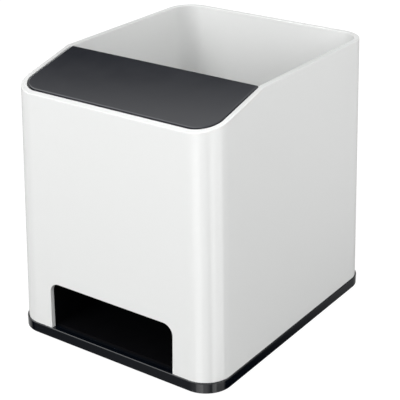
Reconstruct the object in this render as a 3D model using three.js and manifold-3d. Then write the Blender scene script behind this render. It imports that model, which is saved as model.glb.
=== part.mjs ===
// Desk pen holder with a phone slot, whose sound is led through a duct to an outlet at the front.
// Millimetres, +Z up, the front towards -Y, the origin on the table under the middle of the base.
import * as THREE from "three";
import { mergeVertices } from "three/addons/utils/BufferGeometryUtils.js";
import Module from "manifold-3d";

const wasm = await Module();
wasm.setup();

// Whole holder
const BASE_WIDTH = 90;
const BASE_DEPTH = 108;
const TOTAL_HEIGHT = 102;
const CORNER_RADIUS = 10.2;
const FIT_GAP = 0.3;
const OVERRUN = 1;

// Body shell
const WALL = 2;
const SIDE_DRAFT = 2.5;
const FRONT_DRAFT = 1.8;
const SLOPE_RUN = 31.2;
const SLOPE_DROP = 8;
const OUTLET_SIDE = 17.5;
const OUTLET_HEIGHT = 18.7;
const OUTLET_CORNER = 4;
const LEDGE_WIDTH = 2.2;
const LEDGE_THICKNESS = 1.6;
const GUIDE_DEPTH = 1.4;
const GUIDE_THICKNESS = 1.2;
const GUIDE_TOP_DROP = 6;

// Top panel
const PANEL_THICKNESS = 2;
const PANEL_GAP = 0.25;
const RIM_SIDE = 1.6;
const RIM_FRONT = 2.1;
const LIP_HEIGHT = 16;
const LEG_WIDTH = 6;
const LEG_THICKNESS = 1.4;
const LEG_SPREAD = 44;
const HOOK_REACH = 1.2;
const HOOK_HEIGHT = 1.5;
const SIDE_LEG_SHARE = 0.5;

// Phone slot
const PHONE_GAP = 13;
const CRADLE_WALL = 2;
const DIVIDER_DROP = 26;
const DIVIDER_CORNER = 6;
const MOUTH_SIDE = 2.5;
const MOUTH_DEPTH = 9;
const MOUTH_CORNER = 4;
const PAD_THICKNESS = 1.2;
const PAD_MARGIN = 2.5;
const PAD_CORNER = 2;

// Sound duct
const DUCT_WALL = 1.6;
const DUCT_RISE = 10.8;
const DUCT_LEVEL_LENGTH = 12;
const DUCT_FLOOR_EDGE = 0.8;

// Base tray
const BASE_HEIGHT = 4;
const BASE_REVEAL = 0.4;
const BASE_EDGE = 0.35;
const BASE_SKIRT = 3;
const POCKET_DEPTH = 1.6;
const TONGUE_HEIGHT = 3;
const TONGUE_THICKNESS = 1.4;
const STOP_LENGTH = 40;
const TRAY_RIB_THICKNESS = 1.4;
const TRAY_RIB_SPREAD = 32;

// Feet
const FOOT_DIAMETER = 10;
const FOOT_THICKNESS = 1.8;
const FOOT_PROUD = 0.5;
const FOOT_CHAMFER = 0.3;
const FOOT_PAD_WALL = 1.7;

// Screws and the bosses that take them
const HEAD_DIAMETER = 5.6;
const HEAD_HEIGHT = 1.6;
const HEAD_CHAMFER = 0.4;
const CROSS_LENGTH = 3.2;
const CROSS_WIDTH = 0.7;
const CROSS_DEPTH = 0.9;
const SHANK_DIAMETER = 2.9;
const TIP_LENGTH = 2;
const TIP_CLEARANCE = 1.8;
const SCREW_CLEARANCE = 0.15;
const BOSS_DIAMETER = 7.6;
const BOSS_HEIGHT = 10;
const BOSS_FLOOR = 1.6;
const BOSS_BITE = 0.5;
const COLLAR_HEIGHT = 2;

// Steps of the round stretches
const CORNER_STEPS = 10;
const CURVE_STEPS = 14;
const EDGE_STEPS = 3;
const ROUND_STEPS = 32;

// Levels and faces that the pieces share
const seatZ = FOOT_PROUD + BASE_HEIGHT;
const rimZ = TOTAL_HEIGHT;
const outletTopZ = seatZ + OUTLET_HEIGHT;
const outletHalf = BASE_WIDTH / 2 - OUTLET_SIDE;
const mouthHalf = outletHalf - MOUTH_SIDE;
const slopeAngle = Math.atan2(SLOPE_DROP, SLOPE_RUN);
const slopeLength = Math.hypot(SLOPE_DROP, SLOPE_RUN);
const kinkY = SLOPE_RUN - halfDepthAt(rimZ - SLOPE_DROP);
const lipBottomZ = rimZ - LIP_HEIGHT;
const sillBottomZ = outletTopZ + DUCT_RISE;
const sillTopZ = sillBottomZ + CRADLE_WALL;
const frontWallY = kinkY - CRADLE_WALL;
const dividerFrontY = kinkY + PHONE_GAP;
const dividerRearY = dividerFrontY + CRADLE_WALL;
const dividerTopZ = rimZ - DIVIDER_DROP;
const mouthY = kinkY + PHONE_GAP / 2;
const mouthFrontY = mouthY - MOUTH_DEPTH / 2;
const mouthRearY = mouthY + MOUTH_DEPTH / 2;
const bossDiagonal = CORNER_RADIUS - WALL - BOSS_DIAMETER / 2 + BOSS_BITE;
const bossX = halfWidthAt(seatZ) - CORNER_RADIUS + bossDiagonal * Math.SQRT1_2;
const bossY = halfDepthAt(seatZ) - CORNER_RADIUS + bossDiagonal * Math.SQRT1_2;
const screwHoleDiameter = SHANK_DIAMETER + 2 * SCREW_CLEARANCE;
const collarDiameter = BOSS_DIAMETER - 2 * (BOSS_BITE + FIT_GAP);
const collarTopZ = seatZ + COLLAR_HEIGHT;
const bossTopZ = collarTopZ + BOSS_HEIGHT;
const headBottomZ = FOOT_THICKNESS + SCREW_CLEARANCE;
const headSeatZ = headBottomZ + HEAD_HEIGHT;
const screwTipZ = bossTopZ - BOSS_FLOOR - TIP_CLEARANCE;
const pocketTopZ = FOOT_PROUD + POCKET_DEPTH;

// Outer half width of the body at a height: it narrows evenly from the base to the rim
function halfWidthAt(z) {
  return BASE_WIDTH / 2 - BASE_REVEAL - (SIDE_DRAFT * (z - seatZ)) / (rimZ - seatZ);
}

// Outer half depth of the body at a height
function halfDepthAt(z) {
  return BASE_DEPTH / 2 - BASE_REVEAL - (FRONT_DRAFT * (z - seatZ)) / (rimZ - seatZ);
}

// Half width that fits between the side walls at a height
function fittingHalfWidthAt(z) {
  return halfWidthAt(z) - WALL - FIT_GAP;
}

// Height of the plane that lies this deep under the sloping part of the rim
function slopeZ(y, depth) {
  return rimZ + (y - kinkY) * Math.tan(slopeAngle) - depth / Math.cos(slopeAngle);
}

// A closed geometry as a solid that can be joined and cut
function solid(geometry) {
  const bare = geometry.clone();
  bare.deleteAttribute("normal");
  bare.deleteAttribute("uv");
  const merged = mergeVertices(bare);
  const corners = merged.index.array;
  const kept = [];
  for (let i = 0; i < corners.length; i += 3) {
    const [a, b, c] = corners.slice(i, i + 3);
    if (a !== b && b !== c && c !== a) kept.push(a, b, c);
  }
  const vertProperties = merged.attributes.position.array;
  const triVerts = new Uint32Array(kept);
  return new wasm.Manifold(new wasm.Mesh({ numProp: 3, vertProperties, triVerts }));
}

// Several solids as one
function joined(...solids) {
  return solids.reduce((all, next) => all.add(next));
}

// A solid with other solids cut away
function cut(body, ...tools) {
  return tools.reduce((rest, tool) => rest.subtract(tool), body);
}

// Axis changes: an outline drawn flat is turned so that its thickness runs along X, Y or Z
const unitX = new THREE.Vector3(1, 0, 0);
const unitY = new THREE.Vector3(0, 1, 0);
const unitZ = new THREE.Vector3(0, 0, 1);
const turnedTo = {
  x: new THREE.Matrix4().makeBasis(unitY, unitZ, unitX),
  y: new THREE.Matrix4().makeBasis(unitX, unitZ, unitY.clone().negate()),
  z: new THREE.Matrix4(),
};

// An outline given thickness along an axis: (y, z) points along x, (x, z) along y, (x, y) along z
function prismGeometry(outline, axis, from, to) {
  const shape = new THREE.Shape(outline);
  const geometry = new THREE.ExtrudeGeometry(shape, { depth: to - from, bevelEnabled: false });
  geometry.translate(0, 0, axis === "y" ? -to : from);
  return geometry.applyMatrix4(turnedTo[axis]);
}

function prism(outline, axis, from, to) {
  return solid(prismGeometry(outline, axis, from, to));
}

function box(x0, x1, y0, y1, z0, z1) {
  const geometry = new THREE.BoxGeometry(x1 - x0, y1 - y0, z1 - z0);
  return solid(geometry.translate((x0 + x1) / 2, (y0 + y1) / 2, (z0 + z1) / 2));
}

function upright(diameter, z0, z1, x, y) {
  const radius = diameter / 2;
  const geometry = new THREE.CylinderGeometry(radius, radius, z1 - z0, ROUND_STEPS);
  return solid(geometry.rotateX(Math.PI / 2).translate(x, y, (z0 + z1) / 2));
}

// A turned profile of (radius, height) points, standing at a place
function turned(profile, x, y, z) {
  const points = profile.map(([radius, height]) => new THREE.Vector2(radius, height));
  const geometry = new THREE.LatheGeometry(points, ROUND_STEPS);
  return solid(geometry.rotateX(Math.PI / 2).translate(x, y, z));
}

// Points of a quarter circle about a centre, from one right angle to the next
function quarterRound(x, y, radius, quarter, steps) {
  return Array.from({ length: steps + 1 }, (_, step) => {
    const angle = ((quarter + step / steps) * Math.PI) / 2;
    return new THREE.Vector2(x + radius * Math.cos(angle), y + radius * Math.sin(angle));
  });
}

// A rectangle with round corners, anticlockwise
function roundedOutline(halfX, halfY, radius) {
  const x = halfX - radius;
  const y = halfY - radius;
  return [
    ...quarterRound(x, y, radius, 0, CORNER_STEPS),
    ...quarterRound(-x, y, radius, 1, CORNER_STEPS),
    ...quarterRound(-x, -y, radius, 2, CORNER_STEPS),
    ...quarterRound(x, -y, radius, 3, CORNER_STEPS),
  ];
}

// A plate outline with a straight lower edge and round upper corners
function archOutline(lowHalf, highHalf, low, high, radius) {
  return [
    new THREE.Vector2(-lowHalf, low),
    new THREE.Vector2(lowHalf, low),
    ...quarterRound(highHalf - radius, high - radius, radius, 0, CORNER_STEPS),
    ...quarterRound(radius - highHalf, high - radius, radius, 1, CORNER_STEPS),
  ];
}

// Outlines stacked at their heights and closed at both ends
function loft(sections) {
  const count = sections[0].outline.length;
  const positions = sections.flatMap(({ outline, z }) => outline.flatMap((p) => [p.x, p.y, z]));
  const index = [];
  for (let level = 0; level + 1 < sections.length; level++) {
    for (let i = 0; i < count; i++) {
      const a = level * count + i;
      const b = level * count + ((i + 1) % count);
      index.push(a, b, b + count, a, b + count, a + count);
    }
  }
  const top = (sections.length - 1) * count;
  for (let i = 1; i + 1 < count; i++) {
    index.push(0, i + 1, i);
    index.push(top, top + i, top + i + 1);
  }
  const geometry = new THREE.BufferGeometry();
  geometry.setAttribute("position", new THREE.Float32BufferAttribute(positions, 3));
  return solid(geometry.setIndex(index));
}

// The body's tapered form between two heights, this far inside its outer faces
function bodyForm(inset, z0, z1) {
  const radius = Math.max(CORNER_RADIUS - inset, FIT_GAP);
  return loft(
    [z0, z1].map((z) => ({
      outline: roundedOutline(halfWidthAt(z) - inset, halfDepthAt(z) - inset, radius),
      z,
    })),
  );
}

// The base's outline at a height, this far inside its edge
function baseSection(inset, z) {
  const radius = Math.max(CORNER_RADIUS - inset, FIT_GAP);
  return { outline: roundedOutline(BASE_WIDTH / 2 - inset, BASE_DEPTH / 2 - inset, radius), z };
}

// Calls a function for the four corners of the holder
function atCorners(make) {
  return [
    make("front_left", -1, -1),
    make("front_right", 1, -1),
    make("rear_left", -1, 1),
    make("rear_right", 1, 1),
  ];
}

// Slope frame: X across, Y up the slope to the kink of the rim, Z out of the slope
const slopeFrame = new THREE.Matrix4().makeRotationX(slopeAngle).setPosition(0, kinkY, rimZ);

function slopePrism(outline, from, to) {
  return solid(prismGeometry(outline, "z", from, to).applyMatrix4(slopeFrame));
}

// The panel's outline in the slope frame, larger by a gap: square at the kink, round at the front
function panelOutline(gap, rear) {
  const half = halfWidthAt(rimZ) - RIM_SIDE - PANEL_GAP + gap;
  const front = RIM_FRONT + PANEL_GAP - gap - slopeLength;
  const radius = Math.max(CORNER_RADIUS - RIM_SIDE - PANEL_GAP + gap, FIT_GAP);
  return [
    new THREE.Vector2(half, rear),
    new THREE.Vector2(-half, rear),
    ...quarterRound(radius - half, front + radius, radius, 2, CORNER_STEPS),
    ...quarterRound(half - radius, front + radius, radius, 3, CORNER_STEPS),
  ];
}

function slopeRectangle(rear) {
  const half = BASE_WIDTH / 2 + OVERRUN;
  const front = -slopeLength - WALL;
  return [
    new THREE.Vector2(half, rear),
    new THREE.Vector2(-half, rear),
    new THREE.Vector2(-half, front),
    new THREE.Vector2(half, front),
  ];
}

// Everything in front of an upright plane across the holder
function inFrontOf(y) {
  const half = BASE_WIDTH / 2 + OVERRUN;
  return box(-half, half, -BASE_DEPTH, y, 0, rimZ + OVERRUN);
}

// Seat for the panel: a sloping shelf along the inside of the front and side walls
function panelLedge() {
  const top = -PANEL_THICKNESS - FIT_GAP;
  const shelf = slopePrism(slopeRectangle(0), top - LEDGE_THICKNESS, top);
  const embedded = bodyForm(WALL / 2, seatZ, rimZ);
  const open = bodyForm(WALL + LEDGE_WIDTH, seatZ - OVERRUN, rimZ + OVERRUN);
  const clear = inFrontOf(frontWallY - FIT_GAP);
  return shelf.intersect(embedded).intersect(clear).subtract(open);
}

// Ribs on both side walls that hold an upright wall of the cradle between them
function guideRibs(wallFrontY, wallRearY, lowZ, highZ) {
  const inner = (z) => halfWidthAt(z) - WALL - GUIDE_DEPTH;
  const outer = (z) => halfWidthAt(z) - WALL / 2;
  const starts = [wallFrontY - FIT_GAP - GUIDE_THICKNESS, wallRearY + FIT_GAP];
  return [-1, 1].flatMap((side) =>
    starts.map((y) => {
      const outline = [
        new THREE.Vector2(side * inner(lowZ), lowZ),
        new THREE.Vector2(side * outer(lowZ), lowZ),
        new THREE.Vector2(side * outer(highZ), highZ),
        new THREE.Vector2(side * inner(highZ), highZ),
      ];
      return prism(outline, "y", y, y + GUIDE_THICKNESS);
    }),
  );
}

// Body shell: tapered walls open at the top and the bottom, with the outlet cut at the front
function outerShell() {
  const walls = cut(bodyForm(0, seatZ, rimZ), bodyForm(WALL, seatZ - OVERRUN, rimZ + OVERRUN));
  const aboveSlope = slopePrism(slopeRectangle(0), 0, SLOPE_DROP + OVERRUN);
  const rebateDepth = PANEL_THICKNESS + FIT_GAP;
  const rebate = slopePrism(panelOutline(PANEL_GAP, PANEL_THICKNESS), -rebateDepth, OVERRUN);
  const outletShape = archOutline(outletHalf, outletHalf, seatZ - OVERRUN, outletTopZ, OUTLET_CORNER);
  const innerFrontY = WALL - halfDepthAt(outletTopZ);
  const outlet = prism(outletShape, "y", -BASE_DEPTH / 2 - OVERRUN, innerFrontY + OVERRUN);
  const bosses = atCorners((_, sideX, sideY) =>
    cut(
      upright(BOSS_DIAMETER, collarTopZ, bossTopZ, sideX * bossX, sideY * bossY),
      upright(
        screwHoleDiameter,
        collarTopZ - OVERRUN,
        bossTopZ - BOSS_FLOOR,
        sideX * bossX,
        sideY * bossY,
      ),
    ),
  );
  const tongueTopZ = seatZ + TONGUE_HEIGHT + FIT_GAP;
  const guides = [
    ...guideRibs(dividerFrontY, dividerRearY, tongueTopZ, dividerTopZ - GUIDE_TOP_DROP),
    ...guideRibs(frontWallY, kinkY, sillTopZ, lipBottomZ - GUIDE_TOP_DROP),
  ];
  const hollow = joined(walls, panelLedge(), ...bosses, ...guides);
  return cut(hollow, aboveSlope, rebate.intersect(inFrontOf(kinkY)), outlet);
}

// A leg under the panel whose hook catches below the ledge, in the direction of a unit step
function snapLeg(x, y, stepX, stepY) {
  const halfX = (stepX ? LEG_THICKNESS : LEG_WIDTH) / 2;
  const halfY = (stepY ? LEG_THICKNESS : LEG_WIDTH) / 2;
  const lowestLedgeY = y - halfY - (stepY ? HOOK_REACH : 0);
  const hookTopZ = slopeZ(lowestLedgeY, PANEL_THICKNESS + FIT_GAP + LEDGE_THICKNESS) - FIT_GAP;
  const hookBottomZ = hookTopZ - HOOK_HEIGHT;
  const legTopZ = slopeZ(y - halfY, PANEL_THICKNESS / 2);
  const leg = box(x - halfX, x + halfX, y - halfY, y + halfY, hookBottomZ, legTopZ);
  const shiftX = stepX * HOOK_REACH;
  const shiftY = stepY * HOOK_REACH;
  const hook = box(
    x - halfX + Math.min(shiftX, 0),
    x + halfX + Math.max(shiftX, 0),
    y - halfY + Math.min(shiftY, 0),
    y + halfY + Math.max(shiftY, 0),
    hookBottomZ,
    hookTopZ,
  );
  return leg.add(hook);
}

// Top panel: a plate in the slope, an upright lip at its rear edge and four snap legs
function topPanel() {
  const plate = slopePrism(panelOutline(0, PANEL_THICKNESS), -PANEL_THICKNESS, 0);
  const lipOutline = [
    new THREE.Vector2(frontWallY, lipBottomZ),
    new THREE.Vector2(kinkY, lipBottomZ),
    new THREE.Vector2(kinkY, slopeZ(kinkY, PANEL_THICKNESS / 2)),
    new THREE.Vector2(frontWallY, slopeZ(frontWallY, PANEL_THICKNESS / 2)),
  ];
  const lipHalf = fittingHalfWidthAt(rimZ);
  const lip = prism(lipOutline, "x", -lipHalf, lipHalf);
  const reach = WALL + LEDGE_WIDTH + FIT_GAP + LEG_THICKNESS / 2;
  const frontLegY = reach - halfDepthAt(rimZ - SLOPE_DROP);
  const sideLegX = halfWidthAt(rimZ) - reach;
  const sideLegY = kinkY - SLOPE_RUN * SIDE_LEG_SHARE;
  const legs = [
    snapLeg(-LEG_SPREAD / 2, frontLegY, 0, -1),
    snapLeg(LEG_SPREAD / 2, frontLegY, 0, -1),
    snapLeg(-sideLegX, sideLegY, -1, 0),
    snapLeg(sideLegX, sideLegY, 1, 0),
  ];
  return joined(plate.intersect(inFrontOf(kinkY)), lip, ...legs);
}

// Phone cradle: front wall, divider to the pens and the sill between them with the sound mouth
function phoneCradle() {
  const dividerOutline = archOutline(
    fittingHalfWidthAt(seatZ),
    fittingHalfWidthAt(dividerTopZ),
    seatZ,
    dividerTopZ,
    DIVIDER_CORNER,
  );
  const divider = prism(dividerOutline, "y", dividerFrontY, dividerRearY);
  const frontTopZ = lipBottomZ - FIT_GAP;
  const frontOutline = [
    new THREE.Vector2(-fittingHalfWidthAt(sillBottomZ), sillBottomZ),
    new THREE.Vector2(fittingHalfWidthAt(sillBottomZ), sillBottomZ),
    new THREE.Vector2(fittingHalfWidthAt(frontTopZ), frontTopZ),
    new THREE.Vector2(-fittingHalfWidthAt(frontTopZ), frontTopZ),
  ];
  const frontWall = prism(frontOutline, "y", frontWallY, kinkY);
  const sillHalf = fittingHalfWidthAt(sillTopZ) - GUIDE_DEPTH;
  const sillFrontY = kinkY - CRADLE_WALL / 2;
  const sillRearY = dividerFrontY + CRADLE_WALL / 2;
  const sill = box(-sillHalf, sillHalf, sillFrontY, sillRearY, sillBottomZ, sillTopZ);
  const mouthOutline = roundedOutline(mouthHalf, MOUTH_DEPTH / 2, MOUTH_CORNER);
  const mouth = prism(mouthOutline, "z", sillBottomZ - OVERRUN, sillTopZ + OVERRUN);
  return cut(joined(divider, frontWall, sill), mouth.translate(0, mouthY, 0));
}

// Soft strip on the sill, beside the mouth, that the phone's lower edge stands on
function restPad(side) {
  const inner = mouthHalf + PAD_MARGIN;
  const outer = fittingHalfWidthAt(sillTopZ) - GUIDE_DEPTH - PAD_MARGIN;
  const outline = roundedOutline((outer - inner) / 2, PHONE_GAP / 2 - PAD_MARGIN, PAD_CORNER);
  const pad = prism(outline, "z", sillTopZ, sillTopZ + PAD_THICKNESS);
  return pad.translate((side * (inner + outer)) / 2, mouthY, 0);
}

// Curve of the duct: level to the bend, then a quarter of an ellipse up to the sill
const ductFrontY = WALL + FIT_GAP - halfDepthAt(outletTopZ);
const bendY = ductFrontY + DUCT_LEVEL_LENGTH;

function ductCurve(levelZ, endY) {
  const bend = Array.from({ length: CURVE_STEPS + 1 }, (_, step) => {
    const angle = ((step / CURVE_STEPS) * Math.PI) / 2;
    const y = bendY + (endY - bendY) * Math.sin(angle);
    return new THREE.Vector2(y, sillBottomZ - (sillBottomZ - levelZ) * Math.cos(angle));
  });
  return [new THREE.Vector2(ductFrontY, levelZ), ...bend];
}

// Duct floor: a scoop that rises from the outlet to the mouth, between two upright cheeks
function ductFloor() {
  const outerHalf = outletHalf + DUCT_WALL;
  const upper = ductCurve(seatZ + DUCT_FLOOR_EDGE, mouthRearY);
  const lower = ductCurve(seatZ, mouthRearY + DUCT_WALL);
  const scoop = prism([...lower, ...upper.reverse()], "x", -outerHalf, outerHalf);
  const cheekRearY = dividerFrontY - FIT_GAP;
  const cheekOutline = [
    new THREE.Vector2(ductFrontY, seatZ),
    new THREE.Vector2(cheekRearY, seatZ),
    new THREE.Vector2(cheekRearY, sillBottomZ),
    ...ductCurve(outletTopZ - FIT_GAP, mouthFrontY + FIT_GAP).reverse(),
  ];
  const cheekLeft = prism(cheekOutline, "x", -outerHalf, -outletHalf);
  const cheekRight = prism(cheekOutline, "x", outletHalf, outerHalf);
  return joined(scoop, cheekLeft, cheekRight);
}

// Duct roof: a curved sheet from the top of the outlet to the front edge of the mouth
function ductRoof() {
  const half = outletHalf + DUCT_WALL;
  const lower = ductCurve(outletTopZ, mouthFrontY);
  const upper = ductCurve(outletTopZ + DUCT_WALL, mouthFrontY - DUCT_WALL);
  return prism([...lower, ...upper.reverse()], "x", -half, half);
}

// The base's outer form, with softened edges
function baseForm() {
  const sections = [];
  for (let step = 0; step <= EDGE_STEPS; step++) {
    const angle = ((step / EDGE_STEPS) * Math.PI) / 2;
    const inset = BASE_EDGE * (1 - Math.sin(angle));
    sections.push(baseSection(inset, FOOT_PROUD + BASE_EDGE * (1 - Math.cos(angle))));
  }
  for (let step = 0; step <= EDGE_STEPS; step++) {
    const angle = ((step / EDGE_STEPS) * Math.PI) / 2;
    const inset = BASE_EDGE * (1 - Math.cos(angle));
    sections.push(baseSection(inset, seatZ - BASE_EDGE * (1 - Math.sin(angle))));
  }
  return loft(sections);
}

// Low walls on the base that locate the shell and stop the divider
function baseTongues() {
  const topZ = seatZ + TONGUE_HEIGHT;
  const lowZ = seatZ - POCKET_DEPTH / 2;
  const outerX = fittingHalfWidthAt(topZ);
  const outerY = halfDepthAt(topZ) - WALL - FIT_GAP;
  const endX = bossX - BOSS_DIAMETER / 2 - FIT_GAP;
  const endY = bossY - BOSS_DIAMETER / 2 - FIT_GAP;
  const guideReach = GUIDE_THICKNESS + 2 * FIT_GAP;
  const sides = [-1, 1].flatMap((side) => {
    const nearX = side * (outerX - TONGUE_THICKNESS);
    const farX = side * outerX;
    const x0 = Math.min(nearX, farX);
    const x1 = Math.max(nearX, farX);
    return [
      box(x0, x1, -endY, dividerFrontY - guideReach, lowZ, topZ),
      box(x0, x1, dividerRearY + guideReach, endY, lowZ, topZ),
    ];
  });
  const rear = box(-endX, endX, outerY - TONGUE_THICKNESS, outerY, lowZ, topZ);
  const stopY = dividerRearY + FIT_GAP;
  const stopHalf = STOP_LENGTH / 2;
  const stop = box(-stopHalf, stopHalf, stopY, stopY + TONGUE_THICKNESS, lowZ, topZ);
  return [...sides, rear, stop];
}

// Stiffening ribs in the pocket under the base
function trayRibs() {
  const lowZ = FOOT_PROUD + FIT_GAP;
  const highZ = pocketTopZ + BASE_EDGE;
  const half = TRAY_RIB_THICKNESS / 2;
  const reachX = BASE_WIDTH / 2 - BASE_SKIRT / 2;
  const reachY = BASE_DEPTH / 2 - BASE_SKIRT / 2;
  return [-1, 1].flatMap((side) => {
    const middle = (side * TRAY_RIB_SPREAD) / 2;
    return [
      box(middle - half, middle + half, -reachY, reachY, lowZ, highZ),
      box(-reachX, reachX, middle - half, middle + half, lowZ, highZ),
    ];
  });
}

// Base tray: plate with a pocket below, foot pads, screw collars, tongues and ribs
function baseTray() {
  const form = baseForm();
  const pocket = loft([baseSection(BASE_SKIRT, 0), baseSection(BASE_SKIRT, pocketTopZ)]);
  const padDiameter = FOOT_DIAMETER + 2 * (FIT_GAP + FOOT_PAD_WALL);
  const padTopZ = pocketTopZ + BASE_EDGE;
  const pads = atCorners((_, sideX, sideY) =>
    upright(padDiameter, FOOT_PROUD, padTopZ, sideX * bossX, sideY * bossY).intersect(form),
  );
  const collars = atCorners((_, sideX, sideY) =>
    upright(collarDiameter, headSeatZ, collarTopZ, sideX * bossX, sideY * bossY),
  );
  const holes = atCorners((_, sideX, sideY) => {
    const x = sideX * bossX;
    const y = sideY * bossY;
    return joined(
      upright(FOOT_DIAMETER + 2 * FIT_GAP, -OVERRUN, FOOT_THICKNESS, x, y),
      upright(HEAD_DIAMETER + 2 * FIT_GAP, -OVERRUN, headSeatZ, x, y),
      upright(screwHoleDiameter, -OVERRUN, collarTopZ + OVERRUN, x, y),
    );
  });
  const tray = joined(cut(form, pocket), ...pads, ...collars, ...baseTongues(), ...trayRibs());
  return cut(tray, ...holes);
}

// Rubber foot that covers a screw
function foot(x, y) {
  const radius = FOOT_DIAMETER / 2;
  const profile = [
    [0, 0],
    [radius - FOOT_CHAMFER, 0],
    [radius, FOOT_CHAMFER],
    [radius, FOOT_THICKNESS],
    [0, FOOT_THICKNESS],
  ];
  return turned(profile, x, y, 0);
}

// Self-tapping screw, head down, with a cross recess
function screw(x, y) {
  const head = HEAD_DIAMETER / 2;
  const shank = SHANK_DIAMETER / 2;
  const tipZ = screwTipZ - headBottomZ;
  const profile = [
    [0, 0],
    [head - HEAD_CHAMFER, 0],
    [head, HEAD_CHAMFER],
    [head, HEAD_HEIGHT],
    [shank, HEAD_HEIGHT],
    [shank, tipZ - TIP_LENGTH],
    [0, tipZ],
  ];
  const long = CROSS_LENGTH / 2;
  const wide = CROSS_WIDTH / 2;
  const low = headBottomZ - OVERRUN;
  const high = headBottomZ + CROSS_DEPTH;
  return cut(
    turned(profile, x, y, headBottomZ),
    box(x - long, x + long, y - wide, y + wide, low, high),
    box(x - wide, x + wide, y - long, y + long, low, high),
  );
}

// Finishes, as seen in the photograph
const FINISHES = {
  whiteGloss: { color: 0xf0f1f1, roughness: 0.12, metalness: 0 },
  charcoalSatin: { color: 0x3b3c41, roughness: 0.35, metalness: 0 },
  blackGloss: { color: 0x17181c, roughness: 0.15, metalness: 0 },
  blackSatin: { color: 0x121215, roughness: 0.45, metalness: 0 },
  rubber: { color: 0x232325, roughness: 0.9, metalness: 0 },
  zincSteel: { color: 0xb4b8bc, roughness: 0.35, metalness: 1 },
};

// A named mesh of a solid, in its finish
function piece(name, body, finish) {
  const made = body.getMesh();
  const geometry = new THREE.BufferGeometry();
  geometry.setAttribute("position", new THREE.BufferAttribute(made.vertProperties, made.numProp));
  geometry.setIndex(new THREE.BufferAttribute(made.triVerts, 1));
  geometry.computeVertexNormals();
  const mesh = new THREE.Mesh(geometry, new THREE.MeshStandardMaterial(finish));
  mesh.name = name;
  return mesh;
}

const penHolder = new THREE.Group();
penHolder.add(
  piece("outer_shell", outerShell(), FINISHES.whiteGloss),
  piece("top_panel", topPanel(), FINISHES.charcoalSatin),
  piece("phone_cradle", phoneCradle(), FINISHES.blackSatin),
  piece("rest_pad_left", restPad(-1), FINISHES.rubber),
  piece("rest_pad_right", restPad(1), FINISHES.rubber),
  piece("duct_floor", ductFloor(), FINISHES.blackSatin),
  piece("duct_roof", ductRoof(), FINISHES.blackSatin),
  piece("base_tray", baseTray(), FINISHES.blackGloss),
  ...atCorners((place, sideX, sideY) =>
    piece("foot_" + place, foot(sideX * bossX, sideY * bossY), FINISHES.rubber),
  ),
  ...atCorners((place, sideX, sideY) =>
    piece("screw_" + place, screw(sideX * bossX, sideY * bossY), FINISHES.zincSteel),
  ),
);

export default penHolder;
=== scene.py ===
"""A white desk pen holder with a dark sloping panel, a phone slot and a sound outlet, in a studio."""

from math import atan2, cos, hypot, radians, sin, sqrt, tan

import bmesh
import bpy
from mathutils import Matrix, Vector


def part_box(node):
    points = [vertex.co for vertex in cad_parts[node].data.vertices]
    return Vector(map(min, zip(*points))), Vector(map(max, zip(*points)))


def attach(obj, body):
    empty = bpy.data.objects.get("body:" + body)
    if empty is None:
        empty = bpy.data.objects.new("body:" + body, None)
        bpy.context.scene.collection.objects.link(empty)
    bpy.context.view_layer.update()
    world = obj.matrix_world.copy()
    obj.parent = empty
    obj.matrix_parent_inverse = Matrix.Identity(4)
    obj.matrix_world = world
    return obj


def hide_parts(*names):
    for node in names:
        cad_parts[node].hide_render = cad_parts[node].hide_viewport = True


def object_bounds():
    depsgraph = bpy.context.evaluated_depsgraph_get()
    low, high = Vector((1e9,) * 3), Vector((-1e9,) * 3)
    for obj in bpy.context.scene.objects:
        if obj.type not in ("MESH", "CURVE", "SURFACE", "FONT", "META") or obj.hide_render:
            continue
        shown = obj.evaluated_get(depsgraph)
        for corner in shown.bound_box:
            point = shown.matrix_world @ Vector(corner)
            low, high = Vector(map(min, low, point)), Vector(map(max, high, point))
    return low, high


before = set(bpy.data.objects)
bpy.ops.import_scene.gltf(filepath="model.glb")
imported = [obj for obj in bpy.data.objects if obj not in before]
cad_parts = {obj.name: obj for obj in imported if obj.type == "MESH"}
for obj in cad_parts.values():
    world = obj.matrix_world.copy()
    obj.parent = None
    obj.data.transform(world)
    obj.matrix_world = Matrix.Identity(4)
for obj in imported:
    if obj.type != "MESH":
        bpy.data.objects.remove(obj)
cad_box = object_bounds()

# Sizes in metres; the model's own boxes give the outer ones
MM = 0.001
base_low, base_high = cad_box
shell_low, shell_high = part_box("outer_shell")
SEAT_Z = shell_low.z
RIM_Z = shell_high.z
BASE_BOTTOM_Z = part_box("base_tray")[0].z
FOOT_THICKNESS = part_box("foot_front_left")[1].z

CORNER_RADIUS = 10.2 * MM
FIT_GAP = 0.3 * MM
OVERRUN = 1 * MM
WALL = 2 * MM
SIDE_DRAFT = 2.5 * MM
FRONT_DRAFT = 1.8 * MM
SLOPE_RUN = 31.2 * MM
SLOPE_DROP = 8 * MM
OUTLET_HALF = 27.5 * MM
OUTLET_TOP_Z = SEAT_Z + 18.7 * MM
OUTLET_CORNER = 4 * MM
LEDGE_WIDTH = 2.2 * MM
LEDGE_THICKNESS = 1.6 * MM
GUIDE_DEPTH = 1.4 * MM
GUIDE_THICKNESS = 1.2 * MM
GUIDE_TOP_DROP = 6 * MM
PANEL_THICKNESS = 2 * MM
PANEL_GAP = 0.25 * MM
RIM_SIDE = 1.6 * MM
RIM_FRONT = 2.1 * MM
LIP_HEIGHT = 16 * MM
LEG_WIDTH = 6 * MM
LEG_THICKNESS = 1.4 * MM
LEG_SPREAD = 44 * MM
HOOK_REACH = 1.2 * MM
HOOK_HEIGHT = 1.5 * MM
PHONE_GAP = 13 * MM
CRADLE_WALL = 2 * MM
DIVIDER_DROP = 26 * MM
DIVIDER_CORNER = 6 * MM
MOUTH_HALF = OUTLET_HALF - 2.5 * MM
MOUTH_DEPTH = 9 * MM
MOUTH_CORNER = 4 * MM
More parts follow.
